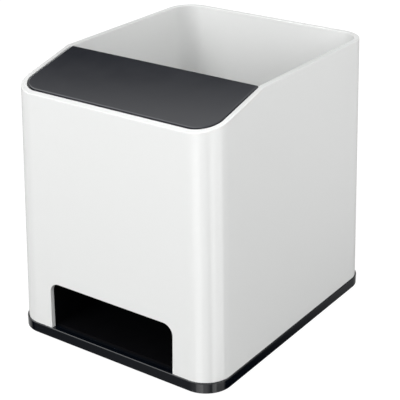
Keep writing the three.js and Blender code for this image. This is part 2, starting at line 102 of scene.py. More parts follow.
DUCT_WALL = 1.6 * MM
DUCT_RISE = 10.8 * MM
DUCT_LEVEL_LENGTH = 12 * MM
DUCT_FLOOR_EDGE = 0.8 * MM
BASE_SKIRT = 3 * MM
POCKET_DEPTH = 1.6 * MM
TONGUE_HEIGHT = 3 * MM
TONGUE_THICKNESS = 1.4 * MM
STOP_LENGTH = 40 * MM
TRAY_RIB_THICKNESS = 1.4 * MM
TRAY_RIB_SPREAD = 32 * MM
FOOT_DIAMETER = 10 * MM
FOOT_PAD_WALL = 1.7 * MM
HEAD_DIAMETER = 5.6 * MM
HEAD_HEIGHT = 1.6 * MM
SHANK_DIAMETER = 2.9 * MM
TIP_LENGTH = 2 * MM
SCREW_CLEARANCE = 0.15 * MM
CROSS_LENGTH = 3.2 * MM
CROSS_WIDTH = 0.7 * MM
CROSS_DEPTH = 0.9 * MM
BOSS_DIAMETER = 7.6 * MM
BOSS_HEIGHT = 10 * MM
BOSS_FLOOR = 1.6 * MM
BOSS_BITE = 0.5 * MM
COLLAR_HEIGHT = 2 * MM
PAD_CORNER = 2 * MM
PAD_GROOVES = 4
PAD_GROOVE_RADIUS = 0.35 * MM
FOOT_RING = 1.4 * MM
FOOT_HOLLOW = 0.35 * MM

# The visible panel is a little smaller than its opening and its front end a little higher, for
# the fine dark and light lines around it
PANEL_SHRINK = 0.4 * MM
PANEL_EDGE = 0.5 * MM
PANEL_LIFT = radians(0.5)

# Steps of round stretches
CORNER_STEPS = 20
EDGE_STEPS = 4
FINE_STEPS = 2
POST_STEPS = 48
FOOT_STEPS = 64
GROOVE_STEPS = 24
DUCT_STEPS = 160

# Radii of the moulded edges
RIM_OUTER_EDGE = 0.25 * MM
RIM_INNER_EDGE = 0.3 * MM
OUTLET_EDGE = 0.25 * MM
MOULDED_EDGE = 0.4 * MM
FINE_EDGE = 0.2 * MM
TIP_RATIO = 0.08

# How near a point counts as on a face, how far pieces reach into each other where they join,
# and the angles that tell flat, sharp and softly turning edges apart
NEAR = 0.2 * MM
BITE = 0.2 * MM
ON_RIM = 0.02 * MM
SAME_POINT = 0.002 * MM
MOSTLY = 0.9
LEVEL = 0.99
FLAT_ANGLE = radians(0.2)
SHARP_ANGLE = radians(30)
SMOOTH_ANGLE = radians(35)
DUCT_SMOOTH_ANGLE = radians(30)

# Middle of a noise's range, which is where most of its values lie
NOISE_LOW = 0.3
NOISE_HIGH = 0.7

# Finishes by slot. Colours are sRGB numbers, one or two that are mixed in patches; patches have a
# size and a detail; roughness goes from the first to the second number with the patches; bumps
# have a size, a detail and a depth
FINISHES = {
    "white_gloss": {
        "name": "white gloss plastic",
        "colours": [(244, 245, 244)],
        "patches": (14 * MM, 3),
        "roughness": (0.04, 0.06),
        "bumps": [(22 * MM, 1, 0.02 * MM), (0.6 * MM, 2, 0.0006 * MM)],
    },
    "charcoal_satin": {
        "name": "charcoal satin plastic",
        "colours": [(24, 27, 35), (26, 29, 37)],
        "patches": (9 * MM, 4),
        "roughness": (0.09, 0.12),
        "bumps": [(0.3 * MM, 2, 0.0008 * MM)],
    },
    "black_gloss": {
        "name": "black gloss plastic",
        "colours": [(8, 12, 19)],
        "patches": (11 * MM, 3),
        "roughness": (0.1, 0.14),
        "bumps": [(16 * MM, 1, 0.012 * MM), (0.5 * MM, 2, 0.0006 * MM)],
    },
    "black_satin": {
        "name": "black satin plastic",
        "colours": [(9, 9, 11), (12, 12, 14)],
        "patches": (8 * MM, 4),
        "roughness": (0.34, 0.46),
        "bumps": [(0.35 * MM, 2, 0.005 * MM)],
        "settings": [("Specular IOR Level", 0.06)],
    },
    "rubber": {
        "name": "dark rubber",
        "colours": [(32, 32, 34), (42, 42, 44)],
        "patches": (0.9 * MM, 5),
        "roughness": (0.68, 0.86),
        "bumps": [(0.25 * MM, 3, 0.012 * MM)],
        "settings": [("Specular IOR Level", 0.3)],
    },
    "zinc_steel": {
        "name": "zinc plated steel",
        "colours": [(168, 173, 180), (188, 191, 194)],
        "patches": (1.2 * MM, 4),
        "roughness": (0.24, 0.4),
        "bumps": [(0.15 * MM, 2, 0.004 * MM)],
        "settings": [("Metallic", 1)],
    },
}

# Camera: turns in degrees to the right, upwards and about its own axis, then metres and lens
CAMERA_YAW = 35.295
CAMERA_PITCH = 24.222
CAMERA_ROLL = -0.296
CAMERA_TARGET = Vector((0, 0, 50.5)) * MM
CAMERA_DISTANCE = 444.67 * MM
CAMERA_TO_RIGHT = 1.361 * MM
CAMERA_DOWN = 6.582 * MM
CAMERA_CLIP = 10 * MM
SENSOR_WIDTH = 36
LENS = 106.931

# Floor: its size, how much light it throws back, and what the camera sees of it
FLOOR_SIZE = 8
FLOOR_DULL = 0.3
FLOOR_LIT = 0.16
FLOOR_GLOW = 0.93

# Surroundings: the light that they give, and the heights in degrees between which what a gloss
# shows changes from the low panels to white and from white to the high panels
AMBIENT = 0.31
LOW_CHANGE = (-14, -6)
HIGH_CHANGE = (14, 24)

# In degrees from the front towards the right: middle, half width and soft edge; the strength;
# and the heights, in degrees, at which the panel is dark and fully bright
LOW_PANELS = {
    "front panel": (10, 12, 4, 1.2, -60, -30),
    "front glow": (27, 6, 24, 0.8, -60, -30),
    "floor glow": (12, 22, 40, 0.6, -26, -32),
    "right panel": (68, 5, 6, 1.8, -60, -30),
    "far right panel": (92, 14, 12, 0.7, -60, -30),
    "upper far right panel": (91, 15, 8, 1.5, -33, -27),
    "rear panel": (166, 14, 7, 0.7, -34, -20),
    "rear left panel": (-130, 45, 15, 0.5, -60, -30),
    "front left glow": (-46, 8, 8, 0.1, -60, -30),
}
# Aim, the soft edge as cosines from the aim, and the strengths outside and inside it
HIGH_PANELS = {
    "overhead panel": ((0.242, -0.755, 0.614), (-0.168, -0.078), (0.05, 1.5)),
    "high front panel": ((-0.527, -0.41, 0.744), (0.76, 0.94), (0, 1.8)),
}

# Place in metres, width in metres and power in watts
LAMPS = {
    "front softbox": ((-0.204, -0.761, 0.666), 0.5, 4.1),
    "low left softbox": ((-0.413, -0.887, 0.258), 0.5, 1.6),
    "low right softbox": ((0.489, -0.847, 0.258), 0.5, 0.5),
    "near left softbox": ((-0.119, -0.326, 0.25), 0.2, 0.16),
    "near right softbox": ((0.326, -0.119, 0.25), 0.2, 0.56),
    "rear right softbox": ((0.692, 0.692, 0.258), 0.5, 1.9),
    "rear left softbox": ((-0.629, 0.749, 0.258), 0.5, 2.6),
}


def half_width(z):
    """Outer half width of the tapered body at a height."""
    return shell_high.x - SIDE_DRAFT * (z - SEAT_Z) / (RIM_Z - SEAT_Z)


def half_depth(z):
    """Outer half depth of the tapered body at a height."""
    return shell_high.y - FRONT_DRAFT * (z - SEAT_Z) / (RIM_Z - SEAT_Z)


def fitting_half_width(z):
    """Half width that fits between the side walls at a height."""
    return half_width(z) - WALL - FIT_GAP


slope_angle = atan2(SLOPE_DROP, SLOPE_RUN)
slope_length = hypot(SLOPE_DROP, SLOPE_RUN)
kink_y = SLOPE_RUN - half_depth(RIM_Z - SLOPE_DROP)
lip_bottom_z = RIM_Z - LIP_HEIGHT
sill_bottom_z = OUTLET_TOP_Z + DUCT_RISE
sill_top_z = sill_bottom_z + CRADLE_WALL
front_wall_y = kink_y - CRADLE_WALL
divider_front_y = kink_y + PHONE_GAP
divider_rear_y = divider_front_y + CRADLE_WALL
divider_top_z = RIM_Z - DIVIDER_DROP
mouth_y = kink_y + PHONE_GAP / 2
mouth_front_y = mouth_y - MOUTH_DEPTH / 2
mouth_rear_y = mouth_y + MOUTH_DEPTH / 2
duct_front_y = WALL + FIT_GAP - half_depth(OUTLET_TOP_Z)
bend_y = duct_front_y + DUCT_LEVEL_LENGTH
boss_diagonal = CORNER_RADIUS - WALL - BOSS_DIAMETER / 2 + BOSS_BITE
boss_x = shell_high.x - CORNER_RADIUS + boss_diagonal / sqrt(2)
boss_y = shell_high.y - CORNER_RADIUS + boss_diagonal / sqrt(2)
collar_top_z = SEAT_Z + COLLAR_HEIGHT
boss_top_z = collar_top_z + BOSS_HEIGHT
pocket_top_z = BASE_BOTTOM_Z + POCKET_DEPTH
head_bottom_z = FOOT_THICKNESS + SCREW_CLEARANCE
head_seat_z = head_bottom_z + HEAD_HEIGHT
bore = SHANK_DIAMETER + 2 * SCREW_CLEARANCE
CORNERS = {
    "front_left": (-1, -1),
    "front_right": (1, -1),
    "rear_left": (-1, 1),
    "rear_right": (1, 1),
}


def slope_z(y, depth):
    """Height of the plane that lies this deep under the sloping part of the rim."""
    return RIM_Z + (y - kink_y) * tan(slope_angle) - depth / cos(slope_angle)


def take_up(piece):
    """Makes a piece the only selected and active one."""
    bpy.ops.object.select_all(action="DESELECT")
    piece.select_set(True)
    bpy.context.view_layer.objects.active = piece


def named(name):
    """Names the primitive that was just added and settles its place and size in its mesh."""
    piece = bpy.context.active_object
    piece.name = name
    piece.data.name = name
    bpy.ops.object.transform_apply(location=True, rotation=True, scale=True)
    return piece


def block(name, low, high):
    """A block between two corners."""
    low, high = Vector(low), Vector(high)
    bpy.ops.object.select_all(action="DESELECT")
    bpy.ops.mesh.primitive_cube_add(size=1, location=(low + high) / 2, scale=high - low)
    return named(name)


def round_bar(name, centre, radii, length, axis, steps):
    """A round or oval bar along an axis, centred on a place."""
    turn = {"X": (0, radians(90), 0), "Y": (radians(90), 0, 0), "Z": (0, 0, 0)}[axis]
    bpy.ops.object.select_all(action="DESELECT")
    bpy.ops.mesh.primitive_cylinder_add(
        vertices=steps, radius=1, depth=length, location=centre, rotation=turn
    )
    piece = bpy.context.active_object
    piece.scale = (radii[1], radii[0], 1) if axis == "X" else (radii[0], radii[1], 1)
    return named(name)


def upright(name, x, y, diameter, low_z, high_z, steps=POST_STEPS):
    """A round post between two heights."""
    place = (x, y, (low_z + high_z) / 2)
    return round_bar(name, place, (diameter / 2, diameter / 2), high_z - low_z, "Z", steps)


def pick(kind, test):
    """In edit mode, selects only the faces, edges or verts that pass a test."""
    bpy.ops.mesh.select_mode(type={"faces": "FACE", "edges": "EDGE", "verts": "VERT"}[kind])
    bpy.ops.mesh.select_all(action="DESELECT")
    mesh = bmesh.from_edit_mesh(bpy.context.edit_object.data)
    for element in getattr(mesh, kind):
        if test(element):
            element.select_set(True)
    mesh.select_flush_mode()
    bmesh.update_edit_mesh(bpy.context.edit_object.data)


def middle(element):
    """Middle of an edge or a face."""
    return sum((vert.co for vert in element.verts), Vector()) / len(element.verts)


def runs_along(edge, axis):
    """Whether an edge runs mostly along an axis, 0 for X, 1 for Y and 2 for Z."""
    span = edge.verts[1].co - edge.verts[0].co
    return abs(span[axis]) > MOSTLY * span.length


def soften(piece, test, width, steps=EDGE_STEPS):
    """Rounds the edges that pass a test."""
    take_up(piece)
    bpy.ops.object.mode_set(mode="EDIT")
    pick("edges", test)
    bpy.ops.mesh.bevel(offset_type="OFFSET", offset=width, segments=steps, profile=0.5)
    bpy.ops.object.mode_set(mode="OBJECT")


def draw_in(piece, z, ratio_x, ratio_y):
    """Draws in the end of a piece that lies at a height."""
    take_up(piece)
    bpy.ops.object.mode_set(mode="EDIT")
    pick("verts", lambda vert: abs(vert.co.z - z) < NEAR)
    bpy.ops.transform.resize(value=(ratio_x, ratio_y, 1), center_override=(0, 0, z))
    bpy.ops.object.mode_set(mode="OBJECT")


def combine(piece, other, how):
    """Joins, cuts or trims a piece with another, which is used up."""
    take_up(piece)
    bpy.ops.object.modifier_add(type="BOOLEAN")
    tool = piece.modifiers[-1]
    tool.operation = how
    tool.solver = "EXACT"
    tool.object = other
    bpy.ops.object.modifier_apply(modifier=tool.name)
    bpy.data.objects.remove(other)


def join(piece, *others):
    """Makes a piece one with others, which are used up."""
    for other in others:
        combine(piece, other, "UNION")


def cut(piece, *others):
    """Cuts others, which are used up, out of a piece."""
    for other in others:
        combine(piece, other, "DIFFERENCE")


def clean(piece):
    """Merges doubled points and does away with edges inside flat faces."""
    take_up(piece)
    bpy.ops.object.mode_set(mode="EDIT")
    bpy.ops.mesh.select_all(action="SELECT")
    bpy.ops.mesh.remove_doubles(threshold=SAME_POINT)
    bpy.ops.mesh.dissolve_limited(angle_limit=FLAT_ANGLE)
    bpy.ops.object.mode_set(mode="OBJECT")


def finish_surface(piece, node, slot, angle=SMOOTH_ANGLE):
    """Shades a finished piece, gives it its material and puts it in place of its CAD node."""
    take_up(piece)
    bpy.ops.object.shade_smooth_by_angle(angle=angle)
    bpy.ops.object.modifier_add(type="WEIGHTED_NORMAL")
    weighting = piece.modifiers[-1]
    weighting.keep_sharp = True
    bpy.ops.object.modifier_apply(modifier=weighting.name)
    piece.data.materials.clear()
    piece.data.materials.append(materials[slot])
    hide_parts(node)
    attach(piece, "root")


def copy_to(model, name, shift):
    """A copy of a finished model with a mesh of its own, moved by a shift."""
    piece = model.copy()
    piece.data = model.data.copy()
    piece.name = name
    piece.data.name = name
    bpy.context.scene.collection.objects.link(piece)
    take_up(piece)
    bpy.ops.transform.translate(value=shift)
    bpy.ops.object.transform_apply(location=True, rotation=True, scale=True)
    return piece


def body_form(name, inset, low_z, high_z):
    """The body's tapered form, this far inside its outer faces, as a closed solid."""
    low = (inset - half_width(low_z), inset - half_depth(low_z), low_z)
    form = block(name, low, (-low[0], -low[1], high_z))
    ratio_x = (half_width(high_z) - inset) / (half_width(low_z) - inset)
    ratio_y = (half_depth(high_z) - inset) / (half_depth(low_z) - inset)
    draw_in(form, high_z, ratio_x, ratio_y)
    soften(form, lambda edge: runs_along(edge, 2), CORNER_RADIUS - inset, CORNER_STEPS)
    return form


def lay_in_slope(piece, lift=0):
    """Turns a piece from the slope's frame into its place, its front end lifted by an angle."""
    take_up(piece)
    turn = Matrix.Rotation(slope_angle - lift, 4, "X")
    piece.matrix_world = Matrix.Translation((0, kink_y, RIM_Z)) @ turn
    bpy.ops.object.transform_apply(location=True, rotation=True, scale=True)


def trim(piece, place, outward):
    """Cuts off what lies beyond a plane, given by a place and a direction, and closes the cut."""
    take_up(piece)
    bpy.ops.object.mode_set(mode="EDIT")
    bpy.ops.mesh.select_all(action="SELECT")
    bpy.ops.mesh.bisect(plane_co=place, plane_no=outward, use_fill=True, clear_outer=True)
    bpy.ops.object.mode_set(mode="OBJECT")


def is_sharp(edge):
    """Whether an edge lies between two faces that meet at a clear angle."""
    return len(edge.link_faces) == 2 and edge.calc_face_angle() > SHARP_ANGLE


def depth_inside(point):
    """How far a point lies inside the body's outer faces."""
    x = abs(point.x) - half_width(point.z) + CORNER_RADIUS
    y = abs(point.y) - half_depth(point.z) + CORNER_RADIUS
    return CORNER_RADIUS - (hypot(x, y) if x > 0 and y > 0 else max(x, y))


def on_rim(edge):
    """Whether a sharp edge lies in the top of the rim."""
    return is_sharp(edge) and all(
        abs(vert.co.z - min(RIM_Z, slope_z(vert.co.y, 0))) < ON_RIM for vert in edge.verts
    )


def outlet_tool():
    """Block with round upper corners that cuts the sound outlet."""
    rear_y = OVERRUN - half_depth(OUTLET_TOP_Z) + WALL
    low = (-OUTLET_HALF, base_low.y - OVERRUN, SEAT_Z - OVERRUN)
    tool = block("outlet_tool", low, (OUTLET_HALF, rear_y, OUTLET_TOP_Z))
    upper = lambda edge: runs_along(edge, 1) and middle(edge).z > SEAT_Z
    soften(tool, upper, OUTLET_CORNER, CORNER_STEPS)
    return tool


def panel_block(name, gap, low, high):
    """The panel's outline, larger by a gap, between two depths in the frame of the slope."""
    half = half_width(RIM_Z) - RIM_SIDE - PANEL_GAP + gap
    front = RIM_FRONT + PANEL_GAP - gap - slope_length
    piece = block(name, (-half, front, low), (half, PANEL_THICKNESS, high))
    front_corner = lambda edge: runs_along(edge, 2) and middle(edge).y < 0
    soften(piece, front_corner, CORNER_RADIUS - RIM_SIDE - PANEL_GAP + gap, CORNER_STEPS)
    return piece


def panel_ledge():
    """Sloping shelf inside the front and side walls, from which the rebate takes the top."""
    bottom = -PANEL_THICKNESS - FIT_GAP - LEDGE_THICKNESS
    low = (base_low.x, -slope_length - WALL, bottom)
    ledge = block("panel_ledge", low, (base_high.x, 0, -PANEL_THICKNESS))
    lay_in_slope(ledge)
    trim(ledge, (0, front_wall_y - FIT_GAP, 0), (0, 1, 0))
    combine(ledge, body_form("ledge_outside", WALL / 2, SEAT_Z, RIM_Z), "INTERSECT")
    cut(ledge, body_form("ledge_inside", WALL + LEDGE_WIDTH, SEAT_Z, RIM_Z))
    return ledge


def guide_rib(side, y, low_z, high_z):
    """Upright rib on a side wall that leans with the wall."""
    inner = half_width(low_z) - WALL - GUIDE_DEPTH
    outer = half_width(low_z) - WALL / 2
    ends = sorted((side * inner, side * outer))
    rib = block("guide_rib", (ends[0], y, low_z), (ends[1], y + GUIDE_THICKNESS, high_z))
    take_up(rib)
    bpy.ops.object.mode_set(mode="EDIT")
    pick("verts", lambda vert: vert.co.z > high_z - NEAR)
    lean = half_width(high_z) - half_width(low_z)
    bpy.ops.transform.translate(value=(side * lean, 0, 0))
    bpy.ops.object.mode_set(mode="OBJECT")
    inward = lambda edge: is_sharp(edge) and abs(middle(edge).x) < inner + NEAR
    soften(rib, inward, FINE_EDGE, FINE_STEPS)
    return rib


def screw_boss(x, y):
    """Post in a corner of the body that takes a screw from below."""
    boss = upright("screw_boss", x, y, BOSS_DIAMETER, collar_top_z, boss_top_z)
    top_edge = lambda edge: is_sharp(edge) and middle(edge).z > boss_top_z - NEAR
    soften(boss, top_edge, MOULDED_EDGE)
    hole_top_z = boss_top_z - BOSS_FLOOR
    cut(boss, upright("pilot_hole", x, y, bore, collar_top_z - OVERRUN, hole_top_z))
    return boss


def make_body_shell():
    """White body: tapered walls with a kinked rim, a rebate for the panel and the sound outlet."""
    shell = body_form("body_shell", 0, SEAT_Z, RIM_Z)
    high = (base_high.x + OVERRUN, 0, SLOPE_DROP)
    above_slope = block("above_slope", (-high[0], -slope_length - SLOPE_DROP, 0), high)
    lay_in_slope(above_slope)
    cut(shell, above_slope, body_form("body_inside", WALL, SEAT_Z - OVERRUN, RIM_Z + OVERRUN))
    rebate = panel_block("panel_rebate", PANEL_GAP, -PANEL_THICKNESS - FIT_GAP, OVERRUN)
    lay_in_slope(rebate)
    trim(rebate, (0, kink_y, 0), (0, 1, 0))
    join(shell, panel_ledge())
    cut(shell, rebate, outlet_tool())
    clean(shell)

    outer_rim = lambda edge: on_rim(edge) and depth_inside(middle(edge)) < FIT_GAP
    inner_rim = lambda edge: on_rim(edge) and middle(edge).y > kink_y + NEAR
    inner_rim_only = lambda edge: inner_rim(edge) and depth_inside(middle(edge)) > WALL / 2
    outlet_rim = lambda edge: (
        is_sharp(edge)
        and middle(edge).y < 0
        and abs(middle(edge).x) < OUTLET_HALF + NEAR
        and SEAT_Z + NEAR < middle(edge).z < OUTLET_TOP_Z + NEAR
        and not runs_along(edge, 1)
    )
    soften(shell, outer_rim, RIM_OUTER_EDGE)
    soften(shell, inner_rim_only, RIM_INNER_EDGE)
    soften(shell, outlet_rim, OUTLET_EDGE)

    for side_x, side_y in CORNERS.values():
        join(shell, screw_boss(side_x * boss_x, side_y * boss_y))
    tongue_top_z = SEAT_Z + TONGUE_HEIGHT + FIT_GAP
    for side in (-1, 1):
        for y in (divider_front_y - FIT_GAP - GUIDE_THICKNESS, divider_rear_y + FIT_GAP):
            join(shell, guide_rib(side, y, tongue_top_z, divider_top_z - GUIDE_TOP_DROP))
        for y in (front_wall_y - FIT_GAP - GUIDE_THICKNESS, kink_y + FIT_GAP):
            join(shell, guide_rib(side, y, sill_top_z, lip_bottom_z - GUIDE_TOP_DROP))
    clean(shell)
    finish_surface(shell, "outer_shell", "white_gloss")


def snap_leg(x, y, step_x, step_y):
    """Leg under the panel with a hook that catches below the ledge."""
    half_x = (LEG_THICKNESS if step_x else LEG_WIDTH) / 2
    half_y = (LEG_THICKNESS if step_y else LEG_WIDTH) / 2
    lowest_y = y - half_y - (HOOK_REACH if step_y else 0)
    hook_top = slope_z(lowest_y, PANEL_THICKNESS + FIT_GAP + LEDGE_THICKNESS) - FIT_GAP
    hook_bottom = hook_top - HOOK_HEIGHT
    leg_top = slope_z(y - half_y, PANEL_THICKNESS / 2)
    leg = block("snap_leg", (x - half_x, y - half_y, hook_bottom), (x + half_x, y + half_y, leg_top))
    shift_x = step_x * HOOK_REACH
    shift_y = step_y * HOOK_REACH
    low = (x - half_x + min(shift_x, 0), y - half_y + min(shift_y, 0), hook_bottom)
    high = (x + half_x + max(shift_x, 0), y + half_y + max(shift_y, 0), hook_top)
    join(leg, block("snap_hook", low, high))
    return leg


def make_top_panel():
    """Charcoal panel: a plate in the slope with a turned-down rear lip and four snap legs."""
    panel = panel_block("sloping_panel", -PANEL_SHRINK, -PANEL_THICKNESS, 0)
    outline = lambda edge: is_sharp(edge) and middle(edge).z > -NEAR
    soften(panel, outline, PANEL_EDGE)
    lay_in_slope(panel, PANEL_LIFT)
    trim(panel, (0, kink_y, 0), (0, 1, 0))
    lip_half = fitting_half_width(RIM_Z)
    lip_top = slope_z(front_wall_y, PANEL_THICKNESS / 2)
    lip = block("panel_lip", (-lip_half, front_wall_y, lip_bottom_z), (lip_half, kink_y, lip_top))
    join(panel, lip)
    reach = WALL + LEDGE_WIDTH + FIT_GAP + LEG_THICKNESS / 2
    front_y = reach - half_depth(RIM_Z - SLOPE_DROP)
    side_x = half_width(RIM_Z) - reach
    side_y = kink_y - SLOPE_RUN / 2
    for side in (-1, 1):
        join(panel, snap_leg(side * LEG_SPREAD / 2, front_y, 0, -1))
        join(panel, snap_leg(side * side_x, side_y, side, 0))
    clean(panel)
    rear_top = lambda edge: (
        is_sharp(edge) and runs_along(edge, 0) and middle(edge).z > RIM_Z - 2 * NEAR
    )
    soften(panel, rear_top, FINE_EDGE)
    finish_surface(panel, "top_panel", "charcoal_satin")


def make_phone_cradle():
    """Black insert: divider, front wall and the sill between them with the sound mouth."""
    low_half = fitting_half_width(SEAT_Z)
    low = (-low_half, divider_front_y, SEAT_Z)
    cradle = block("phone_divider", low, (low_half, divider_rear_y, divider_top_z))
    draw_in(cradle, divider_top_z, fitting_half_width(divider_top_z) / low_half, 1)
    crown = lambda edge: runs_along(edge, 1) and middle(edge).z > divider_top_z - NEAR
    soften(cradle, crown, DIVIDER_CORNER, CORNER_STEPS)
    upper = lambda edge: is_sharp(edge) and middle(edge).z > SEAT_Z + OVERRUN
    soften(cradle, upper, MOULDED_EDGE)

    wall_half = fitting_half_width(sill_bottom_z)
    wall_top_z = lip_bottom_z - FIT_GAP
    low = (-wall_half, front_wall_y, sill_bottom_z)
    wall = block("cradle_front_wall", low, (wall_half, kink_y, wall_top_z))
    draw_in(wall, wall_top_z, fitting_half_width(wall_top_z) / wall_half, 1)
    top_edge = lambda edge: runs_along(edge, 0) and middle(edge).z > wall_top_z - NEAR
    soften(wall, top_edge, FINE_EDGE)

    sill_half = fitting_half_width(sill_top_z) - GUIDE_DEPTH
    low = (-sill_half, kink_y - CRADLE_WALL / 2, sill_bottom_z)
    high = (sill_half, divider_front_y + CRADLE_WALL / 2, sill_top_z)
    sill = block("cradle_sill", low, high)
    low = (-MOUTH_HALF, mouth_front_y, sill_bottom_z - OVERRUN)
    high = (MOUTH_HALF, mouth_rear_y, sill_top_z + OVERRUN)
    mouth = block("sound_mouth", low, high)
    soften(mouth, lambda edge: runs_along(edge, 2), MOUTH_CORNER, CORNER_STEPS)
    cut(sill, mouth)
    mouth_rim = lambda edge: (
        is_sharp(edge)
        and not runs_along(edge, 2)
        and middle(edge).z > sill_top_z - NEAR
        and abs(middle(edge).y - mouth_y) < MOUTH_DEPTH / 2 + NEAR
        and abs(middle(edge).x) < MOUTH_HALF + NEAR
    )
    soften(sill, mouth_rim, MOULDED_EDGE)
    join(cradle, wall, sill)
    clean(cradle)
    finish_surface(cradle, "phone_cradle", "black_satin")


def make_rest_pads():
    """Soft ribbed strips on the sill, one on each side of the sound mouth."""
    low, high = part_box("rest_pad_left")
    left = block("soft_rest_pad_left", low, high)
    soften(left, lambda edge: runs_along(edge, 2), PAD_CORNER, CORNER_STEPS)
    top_edge = lambda edge: is_sharp(edge) and middle(edge).z > high.z - NEAR
    soften(left, top_edge, MOULDED_EDGE)
    radii = (PAD_GROOVE_RADIUS, PAD_GROOVE_RADIUS)
    step = (high.x - low.x) / (PAD_GROOVES + 1)
    for groove in range(1, PAD_GROOVES + 1):
        x = low.x + groove * step
        centre = (x, (low.y + high.y) / 2, high.z)
        length = high.y - low.y + OVERRUN
        cut(left, round_bar("pad_groove", centre, radii, length, "Y", GROOVE_STEPS))
    shift = (-low.x - high.x, 0, 0)
    right = copy_to(left, "soft_rest_pad_right", shift)
    finish_surface(left, "rest_pad_left", "rubber")
    finish_surface(right, "rest_pad_right", "rubber")


def duct_bar(name, end_y, low_z, half):
    """Oval bar across the holder: its lower rear quarter is the bend of the duct."""
    radii = (end_y - bend_y, sill_bottom_z - low_z)
    return round_bar(name, (0, bend_y, sill_bottom_z), radii, 2 * half, "X", DUCT_STEPS)


def make_duct_floor():
    """Black scoop from the outlet up to the sound mouth, between two cheeks."""
    outer_half = OUTLET_HALF + DUCT_WALL
    rear_y = divider_front_y - FIT_GAP
    low = (-outer_half, duct_front_y, SEAT_Z)
    floor = block("duct_scoop", low, (outer_half, rear_y, sill_bottom_z))

    low = (-OUTLET_HALF, duct_front_y - OVERRUN, SEAT_Z + DUCT_FLOOR_EDGE)
    channel = block("duct_channel", low, (OUTLET_HALF, bend_y, sill_bottom_z + OVERRUN))
    join(channel, duct_bar("channel_bend", mouth_rear_y, SEAT_Z + DUCT_FLOOR_EDGE, OUTLET_HALF))

    low = (-OUTLET_HALF, bend_y, SEAT_Z - OVERRUN)
    below = block("below_scoop", low, (OUTLET_HALF, rear_y + OVERRUN, sill_bottom_z - BITE))
    cut(below, duct_bar("scoop_back", mouth_rear_y + DUCT_WALL, SEAT_Z, OUTLET_HALF + OVERRUN))

    roof_z = OUTLET_TOP_Z - FIT_GAP
    wide = outer_half + OVERRUN
    low = (-wide, duct_front_y - OVERRUN, roof_z)
    above = block("above_cheeks", low, (wide, bend_y, sill_bottom_z + OVERRUN))
    join(above, duct_bar("cheek_bend", mouth_front_y + FIT_GAP, roof_z, wide))

    cut(floor, channel, below, above)
    clean(floor)
    finish_surface(floor, "duct_floor", "black_satin", DUCT_SMOOTH_ANGLE)


def make_duct_roof():
    """Black curved sheet from the top of the outlet to the front edge of the sound mouth."""
    outer_half = OUTLET_HALF + DUCT_WALL
    wide = outer_half + OVERRUN
    inner_z = OUTLET_TOP_Z + DUCT_WALL
    low = (-outer_half, duct_front_y, OUTLET_TOP_Z)
    roof = block("duct_hood", low, (outer_half, bend_y, sill_bottom_z))
    join(roof, duct_bar("hood_bend", mouth_front_y, OUTLET_TOP_Z, outer_half))
    # The hollow is longer and higher than the front half of the bar, so none of it is left
    low = (-wide, bend_y - slope_length, inner_z)
    hollow = block("hood_hollow", low, (wide, bend_y, base_high.y))
    join(hollow, duct_bar("hood_back", mouth_front_y - DUCT_WALL, inner_z, wide))
    cut(roof, hollow)
    trim(roof, (0, 0, sill_bottom_z), (0, 0, 1))
    finish_surface(roof, "duct_roof", "black_satin", DUCT_SMOOTH_ANGLE)


def base_block(name, inset, low_z, high_z):
    """The base's outline, this far inside its edge, between two heights."""
    low = (base_low.x + inset, base_low.y + inset, low_z)
    piece = block(name, low, (-low[0], -low[1], high_z))
    soften(piece, lambda edge: runs_along(edge, 2), CORNER_RADIUS - inset, CORNER_STEPS)
    return piece


def tray_tongues():
    """Low walls on the base that locate the body and stop the divider."""
    top_z = SEAT_Z + TONGUE_HEIGHT
    low_z = SEAT_Z - POCKET_DEPTH / 2
    outer_x = fitting_half_width(top_z)
    outer_y = half_depth(top_z) - WALL - FIT_GAP
    end_x = boss_x - BOSS_DIAMETER / 2 - FIT_GAP
    end_y = boss_y - BOSS_DIAMETER / 2 - FIT_GAP
    reach = GUIDE_THICKNESS + 2 * FIT_GAP
    tongues = []
    for side in (-1, 1):
        x0, x1 = sorted((side * (outer_x - TONGUE_THICKNESS), side * outer_x))
        tongues.append(((x0, -end_y, low_z), (x1, divider_front_y - reach, top_z)))
        tongues.append(((x0, divider_rear_y + reach, low_z), (x1, end_y, top_z)))
    tongues.append(((-end_x, outer_y - TONGUE_THICKNESS, low_z), (end_x, outer_y, top_z)))
    stop_y = divider_rear_y + FIT_GAP
    stop_half = STOP_LENGTH / 2
    tongues.append(((-stop_half, stop_y, low_z), (stop_half, stop_y + TONGUE_THICKNESS, top_z)))
    for low, high in tongues:
        tongue = block("tray_tongue", low, high)
        upper = lambda edge: is_sharp(edge) and middle(edge).z > top_z - NEAR
        soften(tongue, upper, FINE_EDGE, FINE_STEPS)
        yield tongue


def tray_ribs():
    """Stiffening ribs in the pocket under the base."""
    low_z = BASE_BOTTOM_Z + FIT_GAP
    high_z = pocket_top_z + BITE
    half = TRAY_RIB_THICKNESS / 2
    reach_x = base_high.x - BASE_SKIRT / 2
    reach_y = base_high.y - BASE_SKIRT / 2
    for side in (-1, 1):
        across = side * TRAY_RIB_SPREAD / 2
        yield block("tray_rib", (across - half, -reach_y, low_z), (across + half, reach_y, high_z))
        yield block("tray_rib", (-reach_x, across - half, low_z), (reach_x, across + half, high_z))


